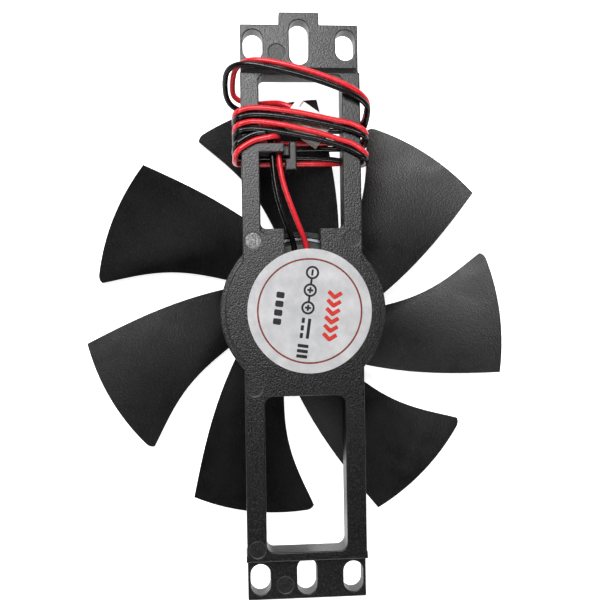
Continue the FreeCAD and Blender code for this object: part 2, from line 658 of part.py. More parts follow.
RED_LOOP = points((WIND_TOP, -WIND_MIDDLE, 0.8), (WIND_TOP + 2.8, -WIND_MIDDLE, 0.8),
                  (50.3, -SIDE - 2.25, 2.7), (52.3, -SIDE - 2.15, BAR_DEPTH - 0.8),
                  (54.5, -SIDE + 1.45, BAR_DEPTH + 2.1), (57.4, -6.8, BAR_DEPTH + 2.1),
                  (59.7, 0.6, BAR_DEPTH + 2.1), (61.3, 7.4, BAR_DEPTH + 2.0),
                  (61.9, SIDE - 1.95, BAR_DEPTH + 1.1), (60.6, SIDE + 1.25, BAR_DEPTH - 1.6),
                  (57.6, SIDE + 2.05, 2.2), (54.8, SIDE + 1.85, -1.0), (52.6, SIDE - 1.65, -1.8),
                  (52.3, 9.6, -1.3), plug_point(WIRE_END - 2 * PLUG_LEAD, PLUG_PITCH / 2, -PLUG_DIP),
                  plug_point(WIRE_END - PLUG_LEAD, PLUG_PITCH / 2), plug_point(WIRE_END, PLUG_PITCH / 2))
BLACK_LOOP = points((WIND_TOP, -WIND_MIDDLE, 3.3), (WIND_TOP + 2.4, -WIND_MIDDLE, 3.3),
                    (49.4, -SIDE - 2.15, 4.9), (50.9, -SIDE - 1.75, BAR_DEPTH + 1.0),
                    (53.3, -SIDE + 2.15, BAR_DEPTH + 2.3), (56.0, -6.0, BAR_DEPTH + 2.3),
                    (58.1, 1.2, BAR_DEPTH + 2.3), (59.7, 8.0, BAR_DEPTH + 2.4),
                    (60.8, SIDE - 0.95, BAR_DEPTH + 2.2), (60.0, SIDE + 3.2, BAR_DEPTH),
                    (57.0, SIDE + 4.0, 3.6), (53.3, SIDE + 3.4, -0.2), (50.7, SIDE - 0.25, -1.8),
                    (50.0, 10.6, -1.4), plug_point(WIRE_END - 2 * PLUG_LEAD, -PLUG_PITCH / 2, -PLUG_DIP),
                    plug_point(WIRE_END - PLUG_LEAD, -PLUG_PITCH / 2), plug_point(WIRE_END, -PLUG_PITCH / 2))


# ---------------------------------------------------------------- assembly
core = stator_core()
middle = (CORE_BASE + CORE_TOP) / 2
pins = winding_pins()
upper_liner = insulator(core, middle, CORE_TOP, CORE_TOP + LINER_END, CORE_TOP + LINER_END + FLANGE_LIP)
upper_liner = fuse_all([upper_liner, ring(CORE_RING, TUBE_RADIUS, CORE_TOP + LINER_END, BOARD_BASE)])
for pin in pins:
    upper_liner = upper_liner.cut(pin)
lower_lip = CORE_BASE - LINER_END - FLANGE_LIP

parts["bracket"] = bracket()
label_low, label_high = BAR_DEPTH, BAR_DEPTH + LABEL_THICKNESS
parts["label"] = post(LABEL_RADIUS, label_low, label_high, 0, -LABEL_OFFSET)
parts["bearing_tube"] = ring(TUBE_RADIUS, BUSH_RADIUS, INSERT_TOP + TUBE_END_GAP, DISC_UNDERSIDE)
parts["sleeve_bearing"] = ring(BUSH_RADIUS, SHAFT_RADIUS + SHAFT_CLEARANCE, BUSH_BASE, BUSH_TOP)
washer_base = BUSH_BASE - WASHER_THICKNESS
parts["thrust_washer"] = ring(WASHER_RADIUS, SHAFT_RADIUS + 2 * SHAFT_CLEARANCE, washer_base, BUSH_BASE)
parts["stator_core"] = core
parts["insulator_upper"] = upper_liner
parts["insulator_lower"] = insulator(core, CORE_BASE, middle, CORE_BASE - LINER_END, lower_lip)
for index in range(POLES):
    parts["coil_%d" % (index + 1)] = coil(360.0 * index / POLES)
parts["winding_pins"] = Part.makeCompound(pins)
parts["circuit_board"] = circuit_board()
parts["hall_chip"] = hall_chip()
parts["filter_capacitor"] = on_board(CAPACITOR_SIZE, COMPONENT_X, CAPACITOR_Y)
parts["protection_diode"] = on_board(DIODE_SIZE, COMPONENT_X, DIODE_Y)

parts["impeller"] = impeller()
parts["rotor_yoke"] = rotor_yoke()
magnet_top = HUB_RIM - YOKE_RIM_DROP - MAGNET_DROP
parts["magnet_ring"] = ring(MAGNET_OUTER, MAGNET_INNER, magnet_top - MAGNET_HEIGHT, magnet_top)
parts["hub_insert"] = ring(INSERT_RADIUS, SHAFT_RADIUS, INSERT_BASE, INSERT_TOP)
parts["shaft"] = shaft()
parts["lock_ring"] = lock_ring()
parts["oil_seal"] = ring(SEAL_RADIUS, SHAFT_RADIUS, INSERT_TOP, INSERT_TOP + SEAL_THICKNESS)

parts["solder_joints"] = Part.makeCompound([solder_blob(y) for y in (RED_SOLDER_Y, BLACK_SOLDER_Y)])
parts["red_lead"] = cord_tube("red_lead", RED_LEAD)
parts["black_lead"] = cord_tube("black_lead", BLACK_LEAD)
parts["lead_winding"] = lead_winding()
parts["red_loop"] = cord_tube("red_loop", RED_LOOP)
parts["black_loop"] = cord_tube("black_loop", BLACK_LOOP)
parts["connector_housing"] = connector_housing()
parts["crimp_terminals"] = crimp_terminals()

os.makedirs("parts", exist_ok=True)
for name, shape in parts.items():
    if not shape.isValid():
        raise ValueError(name + " is not a valid shape")
    shape.exportStep("parts/%s.step" % name)
print(len(parts), "nodes")
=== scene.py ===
import math

import bmesh
import bpy
from mathutils import Matrix, Vector


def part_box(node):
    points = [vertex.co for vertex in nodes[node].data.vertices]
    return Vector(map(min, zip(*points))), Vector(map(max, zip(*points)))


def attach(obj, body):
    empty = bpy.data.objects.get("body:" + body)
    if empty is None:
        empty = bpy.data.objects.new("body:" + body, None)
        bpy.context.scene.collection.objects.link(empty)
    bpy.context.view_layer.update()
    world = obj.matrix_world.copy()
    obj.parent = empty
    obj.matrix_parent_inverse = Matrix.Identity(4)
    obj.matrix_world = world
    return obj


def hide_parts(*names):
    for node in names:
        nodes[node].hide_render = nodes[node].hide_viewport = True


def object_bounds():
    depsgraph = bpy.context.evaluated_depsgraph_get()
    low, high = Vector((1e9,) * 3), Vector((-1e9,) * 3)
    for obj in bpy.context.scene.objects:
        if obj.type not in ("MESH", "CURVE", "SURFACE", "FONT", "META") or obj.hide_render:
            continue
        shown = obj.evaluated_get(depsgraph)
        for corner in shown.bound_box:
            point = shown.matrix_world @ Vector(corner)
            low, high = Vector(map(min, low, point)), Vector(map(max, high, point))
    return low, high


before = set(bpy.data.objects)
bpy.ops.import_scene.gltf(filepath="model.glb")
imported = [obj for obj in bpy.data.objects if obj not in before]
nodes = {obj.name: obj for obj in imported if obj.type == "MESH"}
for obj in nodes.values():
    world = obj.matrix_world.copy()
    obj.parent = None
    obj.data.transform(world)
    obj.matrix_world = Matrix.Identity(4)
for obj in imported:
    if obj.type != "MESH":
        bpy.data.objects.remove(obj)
cad_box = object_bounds()
MM = 0.001

# Camera. It stands 205 mm over the label, a little to the motor lead's side, and looks down
# on the fan as it lies on its impeller, with the tab end of the bracket upwards.
camera = bpy.data.objects.new("camera", bpy.data.cameras.new("camera"))
bpy.context.scene.collection.objects.link(camera)
camera.data.lens = 49.08
camera.data.sensor_width = 36
camera.data.clip_start = 0.01
eye = Vector((0.7, 15.8, 212.2)) * MM
back = (eye - Vector((1.5, -0.3, 7.2)) * MM).normalized()
roll = math.radians(0.9)
up = Vector((math.cos(roll), -math.sin(roll), 0))
across = up.cross(back).normalized()
turn = Matrix((across, back.cross(across), back)).transposed()
camera.matrix_world = Matrix.Translation(eye) @ turn.to_4x4()
bpy.context.scene.camera = camera
bpy.context.scene.view_settings.view_transform = "Standard"
bpy.context.scene.view_settings.gamma = 0.85


def linear(code):
    """A colour written as sRGB hex, in linear light."""
    parts = [int(code[i:i + 2], 16) / 255 for i in (1, 3, 5)]
    return tuple(c / 12.92 if c <= 0.04045 else ((c + 0.055) / 1.055) ** 2.4 for c in parts) + (1.0,)


def add_node(tree, kind, settings=None, **links):
    """Adds a node, sets its properties or sockets, colours as sRGB hex, and links its inputs to outputs."""
    node = tree.nodes.new(kind)
    for key, value in (settings or {}).items():
        if isinstance(key, str) and hasattr(node, key):
            setattr(node, key, value)
        else:
            node.inputs[key].default_value = linear(value) if isinstance(value, str) else value
    for key, output in links.items():
        name = int(key[1:]) if key[0] == "_" and key[1:].isdigit() else key.replace("_", " ")
        tree.links.new(output, node.inputs[name])
    return node


def new_material(name, colour, roughness, metallic=0.0, ior=1.5):
    """A material whose shader starts from one colour, with its tree, shader and piece coordinates."""
    material = bpy.data.materials.new(name)
    material.use_nodes = True
    tree = material.node_tree
    shader = tree.nodes["Principled BSDF"]
    shader.inputs["Base Color"].default_value = linear(colour)
    shader.inputs["Roughness"].default_value = roughness
    shader.inputs["Metallic"].default_value = metallic
    shader.inputs["IOR"].default_value = ior
    place = add_node(tree, "ShaderNodeTexCoord").outputs["Object"]
    return material, tree, shader, place


def put_on(piece, material):
    """Gives a piece one material."""
    piece.data.materials.clear()
    piece.data.materials.append(material)


# Studio. A white paper bowl under the fan, whose rim curves up to hide the room, one large
# soft light beyond the tab end, a weaker one from the plain end and a dim, even room over them.
PAPER_REACH = 1.0
PAPER_CURVE = 0.25
PAPER_RIM = 0.45
paper_mesh = bpy.data.meshes.new("paper")
shape = bmesh.new()
profile = [(0.0, 0.0)]
for k in range(9):
    bend = math.radians(90 * k / 8)
    flat = PAPER_REACH - PAPER_CURVE
    profile.append((flat + PAPER_CURVE * math.sin(bend), PAPER_CURVE * (1 - math.cos(bend))))
profile.append((PAPER_REACH, PAPER_RIM))
floor = cad_box[0].z - 0.2 * MM
corners = [shape.verts.new((x, 0, z + floor)) for x, z in profile]
run = [shape.edges.new(pair) for pair in zip(corners, corners[1:])]
bmesh.ops.spin(shape, geom=corners + run, cent=(0, 0, 0), axis=(0, 0, 1), angle=math.tau, steps=96,
               use_merge=True)
bmesh.ops.remove_doubles(shape, verts=shape.verts, dist=0.0001)
for face in shape.faces:
    face.smooth = True
shape.to_mesh(paper_mesh)
shape.free()
paper = bpy.data.objects.new("paper", paper_mesh)
bpy.context.scene.collection.objects.link(paper)
paper_white, tree, shader, place = new_material("matt_white_paper", "#f4f4f4", 0.9)
# The paper glows with its own emission, strongest on the flat and fading up the rim, so that it stays white
# and the fan's shadow on it stays faint.
shader.inputs["Emission Color"].default_value = linear("#ffffff")
height = add_node(tree, "ShaderNodeSeparateXYZ", None, Vector=place)
fading = add_node(tree, "ShaderNodeMapRange", {"From Max": 0.2, "To Min": 0.85, "To Max": 0.12},
                  Value=height.outputs["Z"])
tree.links.new(fading.outputs["Result"], shader.inputs["Emission Strength"])
put_on(paper, paper_white)


def soft_light(name, watts, width, height, position, target):
    """A rectangular softbox, in metres, that faces a point."""
    lamp = bpy.data.objects.new(name, bpy.data.lights.new(name, "AREA"))
    bpy.context.scene.collection.objects.link(lamp)
    lamp.data.shape = "RECTANGLE"
    lamp.data.size = width
    lamp.data.size_y = height
    lamp.data.energy = watts
    facing = Vector(target) - Vector(position)
    lamp.matrix_world = Matrix.Translation(position) @ facing.to_track_quat("-Z", "Y").to_matrix().to_4x4()


soft_light("tab_end_softbox", 4.1, 0.30, 0.30, (0.25, 0.09, 0.56), (0, 0, 0))
soft_light("plain_end_softbox", 1.1, 0.20, 0.20, (-0.53, -0.05, 0.36), (0, 0, 0))
room = bpy.data.worlds.new("room")
bpy.context.scene.world = room
room.use_nodes = True
room.node_tree.nodes["Background"].inputs["Color"].default_value = linear("#ffffff")
room.node_tree.nodes["Background"].inputs["Strength"].default_value = 0.015


# Bracket. One black PBT moulding: motor cup, two pairs of rails, slotted end plates and the wire
# hook. The mould is spark eroded, so the faces have a fine crinkle; the edges are painted paler, a painted
# highlight.
def edge_band(tree, radius):
    """1 along edges and 0 on open faces, and the normal of the rounded edge. The mask carries the painted
    edge highlights of the black mouldings and the board's paler punched edge.
    """
    rounded = add_node(tree, "ShaderNodeBevel", {"Radius": radius, "samples": 6})
    flat = add_node(tree, "ShaderNodeNewGeometry")
    facing = add_node(tree, "ShaderNodeVectorMath", {"operation": "DOT_PRODUCT"},
                      _0=rounded.outputs["Normal"], _1=flat.outputs["Normal"])
    edge_mask = add_node(tree, "ShaderNodeMapRange", {"From Min": 0.985, "From Max": 0.8},
                   Value=facing.outputs["Value"])
    return edge_mask.outputs["Result"], rounded.outputs["Normal"]


bracket_pbt, tree, shader, place = new_material("black_pbt_spark_eroded", "#0f0f10", 0.45, ior=1.62)
edge_mask, rounded = edge_band(tree, 0.35 * MM)
# The real crinkle is 0.2 mm across; it is drawn at 0.42 mm so that it shows from arm's length.
crinkle = add_node(tree, "ShaderNodeTexNoise", {"Scale": 1 / (0.42 * MM), "Detail": 2.0, "Roughness": 0.6},
                   Vector=place)
cloud = add_node(tree, "ShaderNodeTexNoise", {"Scale": 1 / (16 * MM), "Detail": 4.0}, Vector=place)
tips = add_node(tree, "ShaderNodeMapRange", {"From Min": 0.5, "From Max": 0.72}, Value=crinkle.outputs["Fac"])
deep = add_node(tree, "ShaderNodeMix", {"data_type": "RGBA", 6: "#060607", 7: "#0f0f10"},
                _0=cloud.outputs["Fac"])
skin = add_node(tree, "ShaderNodeMix", {"data_type": "RGBA", 7: "#343436"},
                _0=tips.outputs["Result"], _6=deep.outputs[2])
# Painted highlight: the edges are painted paler, towards #606062.
edge_highlighted = add_node(tree, "ShaderNodeMix", {"data_type": "RGBA", 7: "#606062"}, _0=edge_mask, _6=skin.outputs[2])
# One ejector pin mark is drawn as a lighter disc: partly its own scuff, partly a painted highlight in mottled
# spots.
from_pin = add_node(tree, "ShaderNodeVectorMath",
                    {"operation": "DISTANCE", 1: (17.6 * MM, 12.3 * MM, 7.1 * MM)},
                    _0=place)
on_pin = add_node(tree, "ShaderNodeMapRange", {"From Min": 2.1 * MM, "From Max": 1.8 * MM},
                  Value=from_pin.outputs["Value"])
scratch = add_node(tree, "ShaderNodeTexNoise", {"Scale": 1 / (0.5 * MM), "Detail": 6.0, "Distortion": 0.3},
                   Vector=place)
scratch_edge = add_node(tree, "ShaderNodeMapRange", {"From Min": 0.42, "From Max": 0.62, "To Min": 0.2},
                        Value=scratch.outputs["Fac"])
pin_scuff_and_highlight = add_node(tree, "ShaderNodeMath", {"operation": "MULTIPLY"},
                     _0=on_pin.outputs["Result"], _1=scratch_edge.outputs["Result"])
with_pin_scuff_and_highlight = add_node(tree, "ShaderNodeMix", {"data_type": "RGBA", 7: "#a6a6a6"},
                  _0=pin_scuff_and_highlight.outputs["Value"], _6=edge_highlighted.outputs[2])
tree.links.new(with_pin_scuff_and_highlight.outputs[2], shader.inputs["Base Color"])
gloss = add_node(tree, "ShaderNodeMapRange",
                 {"From Min": 0.3, "From Max": 0.7, "To Min": 0.3, "To Max": 0.42},
                 Value=crinkle.outputs["Fac"])
# The ends of the mould's six ejector pins are ground, not eroded, so their marks scatter light differently.
finish = gloss.outputs["Result"]
PIN_ENDS = ((17.6, 12.3, 7.1), (17.9, -12.4, 7.1), (-18.8, 12.4, 7.1), (-58.6, 12.3, 7.1), (-68.2, 5.5, 4.9),
            (64.8, 5.7, 4.9))
for mark in PIN_ENDS:
    reach = add_node(tree, "ShaderNodeVectorMath", {"operation": "DISTANCE", 1: Vector(mark) * MM}, _0=place)
    disc = add_node(tree, "ShaderNodeMapRange",
                    {"From Min": 2.15 * MM, "From Max": 2.05 * MM, "To Max": 0.06},
                    Value=reach.outputs["Value"])
    finish = add_node(tree, "ShaderNodeMath", {"operation": "ADD"},
                      _0=finish, _1=disc.outputs["Result"]).outputs["Value"]
tree.links.new(finish, shader.inputs["Roughness"])
grain = add_node(tree, "ShaderNodeBump", {"Strength": 0.9, "Distance": 0.1 * MM},
                 Height=crinkle.outputs["Fac"], Normal=rounded)
tree.links.new(grain.outputs["Normal"], shader.inputs["Normal"])
put_on(nodes["bracket"], bracket_pbt)


# Label. A round sticker of white polyester film over the motor cup, with a thin ring and three
# rows of plain signs screen printed in red and black ink. Thumb pressure has left it faintly uneven.
label_low, label_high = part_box("label")
label_middle = (label_low + label_high) / 2
film, tree, shader, place = new_material("white_polyester_film", "#cfcfd0", 0.42, ior=1.57)
pressed = add_node(tree, "ShaderNodeTexNoise", {"Scale": 1 / (5 * MM), "Detail": 5.0, "Roughness": 0.6},
                   Vector=place)
tone = add_node(tree, "ShaderNodeMapRange", {"From Min": 0.35, "From Max": 0.68},
                Value=pressed.outputs["Fac"])
tint = add_node(tree, "ShaderNodeMix", {"data_type": "RGBA", 6: "#b6b6b8", 7: "#cbcbcc"},
                _0=tone.outputs["Result"])
tree.links.new(tint.outputs[2], shader.inputs["Base Color"])
sheen = add_node(tree, "ShaderNodeMapRange", {"To Min": 0.34, "To Max": 0.52}, Value=pressed.outputs["Fac"])
tree.links.new(sheen.outputs["Result"], shader.inputs["Roughness"])
ripple = add_node(tree, "ShaderNodeBump", {"Strength": 0.25, "Distance": 0.15 * MM},
                  Height=pressed.outputs["Fac"])
tree.links.new(ripple.outputs["Normal"], shader.inputs["Normal"])
put_on(nodes["label"], film)

INK = 0.02 * MM
row_turn = math.atan2(0.144, -0.99)


def printed_row(middle):
    """From a row's own plane, read along +X with letters' tops at +Y, to its place on the label."""
    place = Matrix.Translation((middle[0] * MM, middle[1] * MM, label_high.z))
    return place @ Matrix.Rotation(row_turn, 4, "Z")


def ink_bar(shape, row, along, high, length, height, turn=0.0, coat=INK):
    """A bar of ink with rounded corners, in mm; bars that cross need coats of different thickness."""
    frame_of = row @ Matrix.Translation((along * MM, high * MM, coat / 2)) @ Matrix.Rotation(turn, 4, "Z")
    size = Matrix.Diagonal((length * MM, height * MM, coat, 1))
    made = bmesh.ops.create_cube(shape, size=1.0, matrix=frame_of @ size)
    sides = dict.fromkeys(e for v in made["verts"] for e in v.link_edges)
    upright = [e for e in sides if abs((e.verts[0].co - e.verts[1].co).normalized().z) > 0.9]
    round_by = min(length, height) * 0.22 * MM
    bmesh.ops.bevel(shape, geom=upright, offset=round_by, affect="EDGES", segments=2, profile=0.5,
                    material=-1)


def ink_ring(shape, row, along, high, radius, width, steps):
    """A thin printed circle, in mm."""
    centre = row @ Vector((along * MM, high * MM, 0))
    start = row.to_3x3() @ Vector((1, 0, 0))
    inner, outer = radius - width / 2, radius + width / 2
    corner = [shape.verts.new(centre + start * (r * MM) + Vector((0, 0, z)))
              for r, z in ((inner, 0), (outer, 0), (outer, INK), (inner, INK))]
    rim = [shape.edges.new((corner[i], corner[(i + 1) % 4])) for i in range(4)]
    bmesh.ops.spin(shape, geom=corner + rim, cent=centre, axis=(0, 0, 1), angle=math.tau, steps=steps,
                   use_merge=True)


def ink_piece(name, draw, colour, faded):
    """One colour of print as a mesh in its own ink."""
    mesh = bpy.data.meshes.new(name)
    shape = bmesh.new()
    draw(shape)
    bmesh.ops.remove_doubles(shape, verts=shape.verts, dist=0.0005 * MM)
    bmesh.ops.recalc_face_normals(shape, faces=shape.faces)
    shape.to_mesh(mesh)
    shape.free()
    piece = bpy.data.objects.new(name, mesh)
    bpy.context.scene.collection.objects.link(piece)
    # Screen ink: a dry, slightly patchy film that is a little duller than the polyester.
    ink, tree, shader, place = new_material(f"screen_ink_{name}", colour, 0.5)
    patch = add_node(tree, "ShaderNodeTexNoise", {"Scale": 1 / (0.7 * MM), "Detail": 4.0}, Vector=place)
    tone = add_node(tree, "ShaderNodeMapRange", {"From Min": 0.4, "From Max": 0.75},
                    Value=patch.outputs["Fac"])
    tint = add_node(tree, "ShaderNodeMix", {"data_type": "RGBA", 6: colour, 7: faded},
                    _0=tone.outputs["Result"])
    tree.links.new(tint.outputs[2], shader.inputs["Base Color"])
    dry = add_node(tree, "ShaderNodeMapRange", {"To Min": 0.4, "To Max": 0.62}, Value=patch.outputs["Fac"])
    tree.links.new(dry.outputs["Result"], shader.inputs["Roughness"])
    put_on(piece, ink)
    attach(piece, "stator")


def red_signs(shape):
    """Six chevrons that show which way the fan turns."""
    row = printed_row((-1.4, -7.0))
    for k in range(6):
        along = -5.3 + k * 2.1
        ink_bar(shape, row, along, 0.72, 1.0, 2.4, math.radians(38))
        ink_bar(shape, row, along, -0.72, 1.0, 2.4, math.radians(-38), 1.25 * INK)


def black_signs(shape):
    """Three polarity signs in line, the direct current sign, three bars, and a row of date blocks below."""
    row = printed_row((0.0, -0.9))
    for along in (-9.6, -5.2, -0.8):
        ink_ring(shape, row, along, 0.0, 1.4, 0.5, 40)
        ink_bar(shape, row, along, 0.0, 1.5, 0.5)
    ink_bar(shape, row, -5.2, 0.0, 0.5, 1.5, 0.0, 1.25 * INK)
    ink_bar(shape, row, -0.8, 0.0, 0.5, 1.5, 0.0, 1.25 * INK)
    for along in (-7.4, -3.0):
        ink_bar(shape, row, along, 0.0, 1.3, 0.5)
    ink_bar(shape, row, 4.3, 0.8, 5.0, 0.75)
    for along in (2.4, 4.3, 6.2):
        ink_bar(shape, row, along, -0.75, 1.3, 0.75)
    for along in (8.7, 10.0, 11.3):
        ink_bar(shape, row, along, 0.0, 0.8, 2.7)
    row = printed_row((0.8, 6.2))
    for along in (-3.3, -1.1, 1.1, 3.3):
        ink_bar(shape, row, along, 0.0, 1.5, 2.0)


def border(shape):
    """The thin ring inside the sticker's edge."""
    row = Matrix.Translation((label_middle.x, label_middle.y, label_high.z))
    ink_ring(shape, row, 0.0, 0.0, 12.88, 0.4, 160)


ink_piece("label_border", border, "#74261f", "#98463c")
ink_piece("label_red_signs", red_signs, "#c02818", "#d0453a")
ink_piece("label_black_signs", black_signs, "#0c0c0c", "#242424")


# Impeller. Hub and seven blades in one black PBT moulding, pushed over the yoke. The gate is in
# the hub, so faint flow marks run out along the blades, and the faces are smoother than the bracket's.
impeller_pbt, tree, shader, place = new_material("black_pbt_polished_mould", "#0d0d0e", 0.45, ior=1.55)
edge_mask, rounded = edge_band(tree, 0.25 * MM)
fine = add_node(tree, "ShaderNodeTexNoise", {"Scale": 1 / (0.42 * MM), "Detail": 2.0}, Vector=place)
plan = add_node(tree, "ShaderNodeMapping", {"Scale": (1.0, 1.0, 0.0)}, Vector=place)
radial = add_node(tree, "ShaderNodeVectorMath", {"operation": "LENGTH"}, _0=plan.outputs["Vector"])
inside = add_node(tree, "ShaderNodeMapRange", {"From Min": 25.2 * MM, "From Max": 24.8 * MM},
                  Value=radial.outputs["Value"])
flow = add_node(tree, "ShaderNodeTexNoise", {"Scale": 1 / (7 * MM), "Detail": 5.0, "Distortion": 0.8},
                Vector=place)
tips = add_node(tree, "ShaderNodeMapRange", {"From Min": 0.55, "From Max": 0.75}, Value=fine.outputs["Fac"])
deep = add_node(tree, "ShaderNodeMix", {"data_type": "RGBA", 6: "#040405", 7: "#0c0c0d"},
                _0=flow.outputs["Fac"])
skin = add_node(tree, "ShaderNodeMix", {"data_type": "RGBA", 7: "#262628"},
                _0=tips.outputs["Result"], _6=deep.outputs[2])
# Painted highlight: the edges of hub and blades are painted paler, towards #2c2c2e.
edge_highlighted = add_node(tree, "ShaderNodeMix", {"data_type": "RGBA", 7: "#2c2c2e"}, _0=edge_mask, _6=skin.outputs[2])
tree.links.new(edge_highlighted.outputs[2], shader.inputs["Base Color"])
gloss = add_node(tree, "ShaderNodeMapRange",
                 {"From Min": 0.3, "From Max": 0.7, "To Min": 0.38, "To Max": 0.48},
                 Value=flow.outputs["Fac"])
# The mould's round insert for the hub reaches 25 mm from the axis and is finished a little rougher.
finish = add_node(tree, "ShaderNodeMath", {"operation": "MULTIPLY_ADD", 1: 0.06},
                  _0=inside.outputs["Result"], _2=gloss.outputs["Result"])
tree.links.new(finish.outputs["Value"], shader.inputs["Roughness"])
grain = add_node(tree, "ShaderNodeBump", {"Strength": 0.8, "Distance": 0.08 * MM},
                 Height=fine.outputs["Fac"], Normal=rounded)
tree.links.new(grain.outputs["Normal"], shader.inputs["Normal"])
put_on(nodes["impeller"], impeller_pbt)


# Yoke and magnet. A cup drawn from zinc plated steel sheet lines the hub, and a ring of moulded
# ferrite is glued in it. Drawing leaves fine lines round the cup; the ferrite is dull and speckled.
drawn_zinc, tree, shader, place = new_material("drawn_zinc_plated_steel", "#808287", 0.32, 1.0)
stretch = add_node(tree, "ShaderNodeMapping", {"Scale": (1.0, 1.0, 14.0)}, Vector=place)
drawn = add_node(tree, "ShaderNodeTexNoise", {"Scale": 1 / (3 * MM), "Detail": 5.0},
                 Vector=stretch.outputs["Vector"])
tint = add_node(tree, "ShaderNodeMix", {"data_type": "RGBA", 6: "#6d7075", 7: "#94969b"},
                _0=drawn.outputs["Fac"])
tree.links.new(tint.outputs[2], shader.inputs["Base Color"])
gloss = add_node(tree, "ShaderNodeMapRange", {"To Min": 0.24, "To Max": 0.42}, Value=drawn.outputs["Fac"])
tree.links.new(gloss.outputs["Result"], shader.inputs["Roughness"])
lines = add_node(tree, "ShaderNodeBump", {"Strength": 0.2, "Distance": 0.02 * MM},
                 Height=drawn.outputs["Fac"])
tree.links.new(lines.outputs["Normal"], shader.inputs["Normal"])
put_on(nodes["rotor_yoke"], drawn_zinc)

ferrite, tree, shader, place = new_material("moulded_bonded_ferrite", "#2c2c2f", 0.6, ior=1.7)
speck = add_node(tree, "ShaderNodeTexNoise", {"Scale": 1 / (0.25 * MM), "Detail": 3.0}, Vector=place)
tint = add_node(tree, "ShaderNodeMix", {"data_type": "RGBA", 6: "#232326", 7: "#3b3b3f"},
                _0=speck.outputs["Fac"])
tree.links.new(tint.outputs[2], shader.inputs["Base Color"])
gloss = add_node(tree, "ShaderNodeMapRange", {"To Min": 0.5, "To Max": 0.7}, Value=speck.outputs["Fac"])
tree.links.new(gloss.outputs["Result"], shader.inputs["Roughness"])
pits = add_node(tree, "ShaderNodeBump", {"Strength": 0.2, "Distance": 0.02 * MM}, Height=speck.outputs["Fac"])
tree.links.new(pits.outputs["Normal"], shader.inputs["Normal"])
put_on(nodes["magnet_ring"], ferrite)


# Shaft. A 3 mm steel pin, centreless ground, with a groove for the lock ring. Grinding leaves very
# fine rings, seen as a soft streak of light along it.
ground_steel, tree, shader, place = new_material("centreless_ground_steel", "#b4b5b8", 0.2, 1.0)
rings = add_node(tree, "ShaderNodeMapping", {"Scale": (1.0, 1.0, 30.0)}, Vector=place)
ground = add_node(tree, "ShaderNodeTexNoise", {"Scale": 1 / (2 * MM), "Detail": 4.0},
                  Vector=rings.outputs["Vector"])
tint = add_node(tree, "ShaderNodeMix", {"data_type": "RGBA", 6: "#a6a8ab", 7: "#c6c7c9"},
                _0=ground.outputs["Fac"])
tree.links.new(tint.outputs[2], shader.inputs["Base Color"])
gloss = add_node(tree, "ShaderNodeMapRange", {"To Min": 0.14, "To Max": 0.3}, Value=ground.outputs["Fac"])
tree.links.new(gloss.outputs["Result"], shader.inputs["Roughness"])
put_on(nodes["shaft"], ground_steel)


# Bearing tube and hub insert. Both are turned from free cutting brass: the tube is pressed in the
# cup's floor and carries the bush, and the insert is moulded in the hub round the shaft.
turned_brass, tree, shader, place = new_material("turned_brass", "#c9a15a", 0.3, 1.0)
tool_rings = add_node(tree, "ShaderNodeTexWave",
                      {"bands_direction": "Z", "Scale": 1 / (1.2 * MM), "Distortion": 0.4},
                      Vector=place)
tarnish = add_node(tree, "ShaderNodeTexNoise", {"Scale": 1 / (3 * MM), "Detail": 4.0}, Vector=place)
tint = add_node(tree, "ShaderNodeMix", {"data_type": "RGBA", 6: "#b48a45", 7: "#d8b56e"},
                _0=tarnish.outputs["Fac"])
tree.links.new(tint.outputs[2], shader.inputs["Base Color"])
gloss = add_node(tree, "ShaderNodeMapRange", {"To Min": 0.22, "To Max": 0.4}, Value=tarnish.outputs["Fac"])
tree.links.new(gloss.outputs["Result"], shader.inputs["Roughness"])
cut = add_node(tree, "ShaderNodeBump", {"Strength": 0.15, "Distance": 0.01 * MM},
               Height=tool_rings.outputs["Fac"])
tree.links.new(cut.outputs["Normal"], shader.inputs["Normal"])
for name in ("bearing_tube", "hub_insert"):
    put_on(nodes[name], turned_brass)


# Sleeve bearing. A bush pressed from bronze powder, sintered and soaked in oil: brown, finely
# porous and slightly wet.
sintered, tree, shader, place = new_material("oiled_sintered_bronze", "#8f6a3c", 0.42, 1.0)
pores = add_node(tree, "ShaderNodeTexVoronoi", {"Scale": 1 / (0.3 * MM)}, Vector=place)
pore_edge = add_node(tree, "ShaderNodeMapRange", {"From Min": 0.1, "From Max": 0.45},
                     Value=pores.outputs["Distance"])
tint = add_node(tree, "ShaderNodeMix", {"data_type": "RGBA", 6: "#4e3719", 7: "#a57c48"},
                _0=pore_edge.outputs["Result"])
tree.links.new(tint.outputs[2], shader.inputs["Base Color"])
pitted = add_node(tree, "ShaderNodeBump", {"Strength": 0.3, "Distance": 0.02 * MM},
                  Height=pore_edge.outputs["Result"])
tree.links.new(pitted.outputs["Normal"], shader.inputs["Normal"])
put_on(nodes["sleeve_bearing"], sintered)


# Seal. A small ring of black nitrile rubber that keeps the bush's oil off the hub; matt, with
# a trace of moulding powder.
nitrile, tree, shader, place = new_material("moulded_nitrile_rubber", "#161616", 0.7, ior=1.52)
powder = add_node(tree, "ShaderNodeTexNoise", {"Scale": 1 / (0.6 * MM), "Detail": 5.0}, Vector=place)
tint = add_node(tree, "ShaderNodeMix", {"data_type": "RGBA", 6: "#101010", 7: "#2a2a2a"},
                _0=powder.outputs["Fac"])
tree.links.new(tint.outputs[2], shader.inputs["Base Color"])
matt = add_node(tree, "ShaderNodeBump", {"Strength": 0.2, "Distance": 0.02 * MM},
                Height=powder.outputs["Fac"])
tree.links.new(matt.outputs["Normal"], shader.inputs["Normal"])
put_on(nodes["oil_seal"], nitrile)


